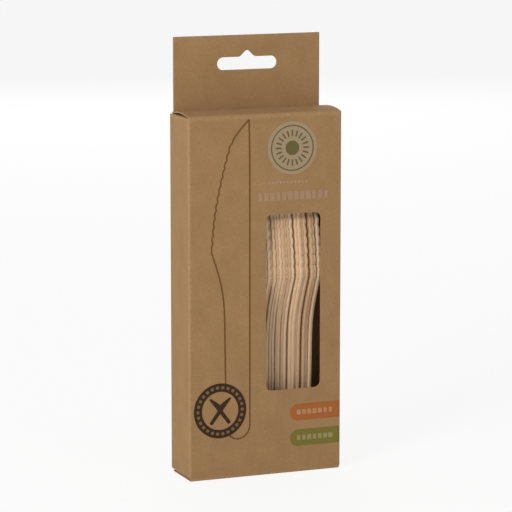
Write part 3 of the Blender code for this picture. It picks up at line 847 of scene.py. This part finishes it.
def mark_shape(width, height, corner):
    """One small mark, a bar with rounded corners, in millimetres."""
    ring = []
    for quarter, (i, k) in enumerate(((1, 1), (-1, 1), (-1, -1), (1, -1))):
        centre = (i * (width / 2 - corner), k * (height / 2 - corner))
        ring += arc(centre, corner, 90 * quarter, 90 * quarter + 90, 4)
    mesh = bpy.data.meshes.new("mark")
    mesh.from_pydata([(p.x, p.y, 0) for p in ring], [], [range(len(ring))])
    return mesh


def mark_ring():
    """The tree that sets one mark round a centre, each turned to face it."""
    tree, given, keys = new_tree("marks_round_a_centre", {
        "Count": "Int", "Ring Radius": "Float", "Material": "Material"})
    index = tree.nodes.new("GeometryNodeInputIndex").outputs[0]
    turn = calc(tree, "DIVIDE", calc(tree, "MULTIPLY", index, 2 * math.pi), given["Count"])
    x = calc(tree, "MULTIPLY", calc(tree, "COSINE", turn), given["Ring Radius"])
    y = calc(tree, "MULTIPLY", calc(tree, "SINE", turn), given["Ring Radius"])
    spot = add_node(tree, "ShaderNodeCombineXYZ", X=x, Y=y)
    points = add_node(tree, "GeometryNodePoints", Count=given["Count"], Position=spot.outputs[0])
    facing = add_node(tree, "ShaderNodeCombineXYZ", Z=turn)
    facing = add_node(tree, "FunctionNodeEulerToRotation", Euler=facing.outputs[0])
    marks = add_node(tree, "GeometryNodeInstanceOnPoints", Points=points.outputs[0],
                     Instance=given["Geometry"], Rotation=facing.outputs[0])
    end_tree(tree, marks.outputs[0])
    return tree, keys


def mark_row():
    """The tree that sets one mark in a row, each as long as chance has it."""
    tree, given, keys = new_tree("marks_in_a_row", {
        "Count": "Int", "Pitch": "Float", "Shortest": "Float", "Seed": "Int", "Material": "Material"})
    index = tree.nodes.new("GeometryNodeInputIndex").outputs[0]
    spot = add_node(tree, "ShaderNodeCombineXYZ", X=calc(tree, "MULTIPLY", index, given["Pitch"]))
    points = add_node(tree, "GeometryNodePoints", Count=given["Count"], Position=spot.outputs[0])
    length = add_node(tree, "FunctionNodeRandomValue", {"data_type": "FLOAT"}, Min=given["Shortest"],
                      Max=1.0, Seed=given["Seed"])
    length = [s for s in length.outputs if s.enabled][0]
    size = add_node(tree, "ShaderNodeCombineXYZ", X=length, Y=1.0, Z=1.0)
    marks = add_node(tree, "GeometryNodeInstanceOnPoints", Points=points.outputs[0],
                     Instance=given["Geometry"], Scale=size.outputs[0])
    end_tree(tree, marks.outputs[0])
    return tree, keys


def flat_marks(name, mark, tree_and_keys, centre, values):
    """Marks from a tree, still flat on the sheet, about a place on the front."""
    grown = grow(name, mark, *tree_and_keys, values)
    flat = bmesh.new()
    flat.from_mesh(grown.data)
    bpy.data.objects.remove(grown)
    move = Vector((x_on_front(left + centre[0]), centre[1], 0)) * MM
    bmesh.ops.translate(flat, verts=flat.verts, vec=move)
    return flat


marks_round, marks_in_row = mark_ring(), mark_row()

# the two bands run from a round end to the edge, each with a row of pale bars on it
BAND_START, BAND_END = 0.0503, right - left - 0.0004
BAND_HEIGHT, BAND_BARS_AT = 0.008, 0.0547
BAND_BARS = {"Count": 7, "Pitch": 2.7, "Shortest": 0.6}
pale_orange = ink("pale_orange_ink", srgb(204, 144, 104), 0.75)
pale_green = ink("pale_green_ink", srgb(156, 153, 102), 0.75)
for name, colour, pale, low, seed in (("orange", srgb(172, 98, 42), pale_orange, 0.0247, 3),
                                      ("green", srgb(118, 114, 42), pale_green, 0.0124, 8)):
    high, half = low + BAND_HEIGHT, BAND_HEIGHT / 2
    round_end = arc((BAND_START + half, low + half), half, 90, 270, 20)
    outline = [(BAND_END, low), (BAND_END, high)] + [tuple(p) for p in round_end]
    print_on_front(name + "_band", flat_ink([outline]), ink(name + "_ink", colour, 0.93))
    bars = flat_marks(name + "_bars", mark_shape(2.2, 2.4, 0.5), marks_in_row,
                      (BAND_BARS_AT, low + half), BAND_BARS | {"Seed": seed, "Material": pale})
    print_on_front(name + "_bars", bars, pale, 1)

# two rows of plain bars above the window
SMALL_HEADING_AT, HEADING_AT = (0.0398, 0.1378), (0.0352, 0.1314)
HEADING_SEED, HEADING_SHORTEST = 2, 0.55
heading_ink = ink("heading_ink", srgb(176, 146, 120), 0.75)
for name, mark, place, count, pitch in (
        ("small_heading", mark_shape(1.5, 1.2, 0.3), SMALL_HEADING_AT, 11, 1.85),
        ("heading", mark_shape(2.5, 3.9, 0.4), HEADING_AT, 12, 3.0)):
    bars = flat_marks(name, mark, marks_in_row, place,
                      {"Count": count, "Pitch": pitch, "Shortest": HEADING_SHORTEST,
                       "Seed": HEADING_SEED, "Material": heading_ink})
    print_on_front(name, bars, heading_ink)

# the seal is a pale disc with a thin ring, short rays and a dot
seal_centre = Vector((0.0512, 0.1536))
SEAL_RADIUS, SEAL_RING, SEAL_RING_INSIDE, SEAL_DOT = 0.0123, 0.0107, 0.0101, 0.0034
RAY_COUNT, RAY_RING = 20, 6.9
pale_ink = ink("pale_ink", srgb(170, 152, 122), 0.85)
olive_ink = ink("olive_ink", srgb(94, 90, 48), 0.88)
print_on_front("round_seal", flat_ink([disc(seal_centre, SEAL_RADIUS)]), pale_ink)
ring = flat_ink([disc(seal_centre, SEAL_RING), disc(seal_centre, SEAL_RING_INSIDE)])
print_on_front("seal_ring", ring, olive_ink, 1)
rays = flat_marks("seal_rays", mark_shape(3.0, 0.8, 0.3), marks_round, seal_centre,
                  {"Count": RAY_COUNT, "Ring Radius": RAY_RING, "Material": olive_ink})
print_on_front("seal_rays", rays, olive_ink, 1)
print_on_front("seal_dot", flat_ink([disc(seal_centre, SEAL_DOT, 36)]), olive_ink, 1)

# the knife is drawn smaller than a real one, nine tenths as wide and with a shorter blade
drawing_ink = ink("drawing_ink", srgb(104, 67, 24), 0.9)
SPINE_X, DRAWN_TIP, DRAWN_HEEL, DRAWN_END = 0.030, 0.1675, 0.1073, 0.0185
DRAWN_WIDTH, DRAWN_POINT = 0.9, 0.014
LINE_WIDTH = 0.0008


def drawn(point):
    """A point of the knife as it is drawn: shorter in the blade, with a sharp tip."""
    along, across = point
    if along < HEEL_AT:
        z = DRAWN_TIP + (DRAWN_HEEL - DRAWN_TIP) * along / HEEL_AT
    else:
        z = DRAWN_HEEL + (DRAWN_END - DRAWN_HEEL) * (along - HEEL_AT) / (KNIFE_LENGTH - HEEL_AT)
    return Vector((SPINE_X - across * DRAWN_WIDTH * min(along / DRAWN_POINT, 1.0) ** 0.5, z))


stamp_centre = Vector((0.0152, 0.0325))
STAMP_RADIUS, STAMP_INSIDE = 0.0130, 0.0090
line = [drawn(point) for point in knife_shape(4)]
ribbon = bmesh.new()
rims = ([], [])
for k, point in enumerate(line):
    along = (line[(k + 1) % len(line)] - line[k - 1]).normalized()
    for rim, side in zip(rims, (0.5, -0.5)):
        spot = point + Vector((-along.y, along.x)) * side * LINE_WIDTH
        rim.append(ribbon.verts.new((x_on_front(left + spot.x) * MM, spot.y * MM, 0)))
for k in range(len(line)):
    ribbon.faces.new((rims[0][k - 1], rims[0][k], rims[1][k], rims[1][k - 1]))
ribbon.normal_update()
score(ribbon, [], [GRID / 2 * k for k in range(4, int(2 * HEIGHT / GRID))])

# the line stops where the stamp is
stamp_at = Vector((x_on_front(left + stamp_centre.x), stamp_centre.y, 0)) * MM
ring_middle = (STAMP_RADIUS + STAMP_INSIDE) / 2 * MM
hidden = [face for face in ribbon.faces if (face.calc_center_median() - stamp_at).length < ring_middle]
bmesh.ops.delete(ribbon, geom=hidden, context="FACES")
print_on_front("knife_drawing", ribbon, drawing_ink)

# the stamp is a broad ring of short dashes round two crossed knives
DASH_COUNT, DASH_RING = 26, 11.0
CROSSED_TURN, CROSSED_WIDTH, CROSSED_LENGTH = 38, 0.13, 0.095
brown_ink = ink("brown_ink", srgb(46, 27, 6), 1.0)
ring = flat_ink([disc(stamp_centre, STAMP_RADIUS), disc(stamp_centre, STAMP_INSIDE)])
print_on_front("stamp_ring", ring, brown_ink, 1)
dash_ink = ink("dash_ink", srgb(118, 92, 60), 0.9)
dashes = flat_marks("stamp_dashes", mark_shape(1.4, 1.5, 0.4), marks_round, stamp_centre,
                    {"Count": DASH_COUNT, "Ring Radius": DASH_RING, "Material": dash_ink})
print_on_front("stamp_dashes", dashes, dash_ink, 2)
for side, layer in ((-1, 1), (1, 2)):
    turn = math.radians(CROSSED_TURN * side)
    small = []
    for along, across in knife_shape(2):
        x = side * (HANDLE_WIDTH / 2 - across) * CROSSED_WIDTH
        z = (KNIFE_LENGTH / 2 - along) * CROSSED_LENGTH
        small.append((stamp_centre.x + x * math.cos(turn) + z * math.sin(turn),
                      stamp_centre.y - x * math.sin(turn) + z * math.cos(turn)))
    name = "crossed_knife_" + ("left" if side < 0 else "right")
    print_on_front(name, flat_ink([small]), brown_ink, layer)


# FLOOR, LIGHT AND CAMERA
# A plain white table top that runs on past the view, three soft lamps and a white sky. The
# camera looks at the pack from the photograph's angle.

FLOOR_Z, FLOOR_HALF = -0.0001, 15.0  # just below the carton, so that no two faces share a plane
TABLE_WHITE, TABLE_GLOW = 0.95, 0.86
SKY_LIGHT, SKY_SEEN = 0.4, 1.0


def plate(name, corners):
    """A flat plate with four corners."""
    mesh = bpy.data.meshes.new(name)
    mesh.from_pydata(corners, [], [(0, 1, 2, 3)])
    obj = bpy.data.objects.new(name, mesh)
    bpy.context.scene.collection.objects.link(obj)
    return obj


corners = [(x * FLOOR_HALF, y * FLOOR_HALF, FLOOR_Z) for x, y in ((-1, -1), (1, -1), (1, 1), (-1, 1))]
floor = plate("floor", corners)
paper, tree, shader = new_paint("white_table", 0.9)
shader.inputs["Base Color"].default_value = (TABLE_WHITE, TABLE_WHITE, TABLE_WHITE, 1)
glow = add_node(tree, "ShaderNodeEmission", Color=(1, 1, 1, 1), Strength=1.0)
seen = tree.nodes.new("ShaderNodeLightPath").outputs["Is Camera Ray"]
half_glow = add_node(tree, "ShaderNodeMixShader")
tree.links.new(calc(tree, "MULTIPLY", seen, TABLE_GLOW), half_glow.inputs[0])
tree.links.new(shader.outputs[0], half_glow.inputs[1])
tree.links.new(glow.outputs[0], half_glow.inputs[2])
tree.links.new(half_glow.outputs[0], tree.nodes["Material Output"].inputs["Surface"])
floor.data.materials.append(paper)

world = bpy.data.worlds.new("studio")
bpy.context.scene.world = world
world.use_nodes = True
tree = world.node_tree
sky = tree.nodes["Background"]
sky.inputs["Color"].default_value = (1, 1, 1, 1)
path = tree.nodes.new("ShaderNodeLightPath")
white_for = calc(tree, "MAXIMUM", path.outputs["Is Camera Ray"], path.outputs["Is Glossy Ray"])
tree.links.new(ramp(tree, white_for, 0.0, 1.0, SKY_LIGHT, SKY_SEEN), sky.inputs["Strength"])


def softbox(name, place, size, power):
    """A rectangular lamp that faces the pack's middle."""
    lamp = bpy.data.lights.new(name, "AREA")
    lamp.shape, lamp.size, lamp.size_y, lamp.energy = "RECTANGLE", size[0], size[1], power
    obj = bpy.data.objects.new(name, lamp)
    obj.location = place
    obj.rotation_euler = (LIT_POINT - Vector(place)).to_track_quat("-Z", "Y").to_euler()
    bpy.context.scene.collection.objects.link(obj)


LIT_POINT = Vector((0, 0, 0.1))
softbox("left_softbox", (-1.18, -0.81, 0.66), (0.6, 0.6), 14.2)
softbox("right_softbox", (0.7, -1.4, 0.4), (0.7, 0.9), 1.5)
softbox("back_softbox", (0.5, 1.5, 0.7), (0.9, 0.9), 6.0)

LENS, SENSOR = 196, 36
distance, azimuth, elevation = 1.3, math.radians(22.0), math.radians(9.4)
aim = Vector((0, 0, 0.102))
level_share = math.cos(elevation)
away = Vector((-math.sin(azimuth) * level_share, -math.cos(azimuth) * level_share, math.sin(elevation)))
camera_data = bpy.data.cameras.new("camera")
camera_data.lens = LENS
camera_data.sensor_width = SENSOR
camera_data.clip_start, camera_data.clip_end = 0.01, 20
camera = bpy.data.objects.new("camera", camera_data)
camera.location = aim + away * distance
camera.rotation_euler = (-away).to_track_quat("-Z", "Y").to_euler()
bpy.context.scene.collection.objects.link(camera)
bpy.context.scene.camera = camera
bpy.context.scene.view_settings.view_transform = "Standard"
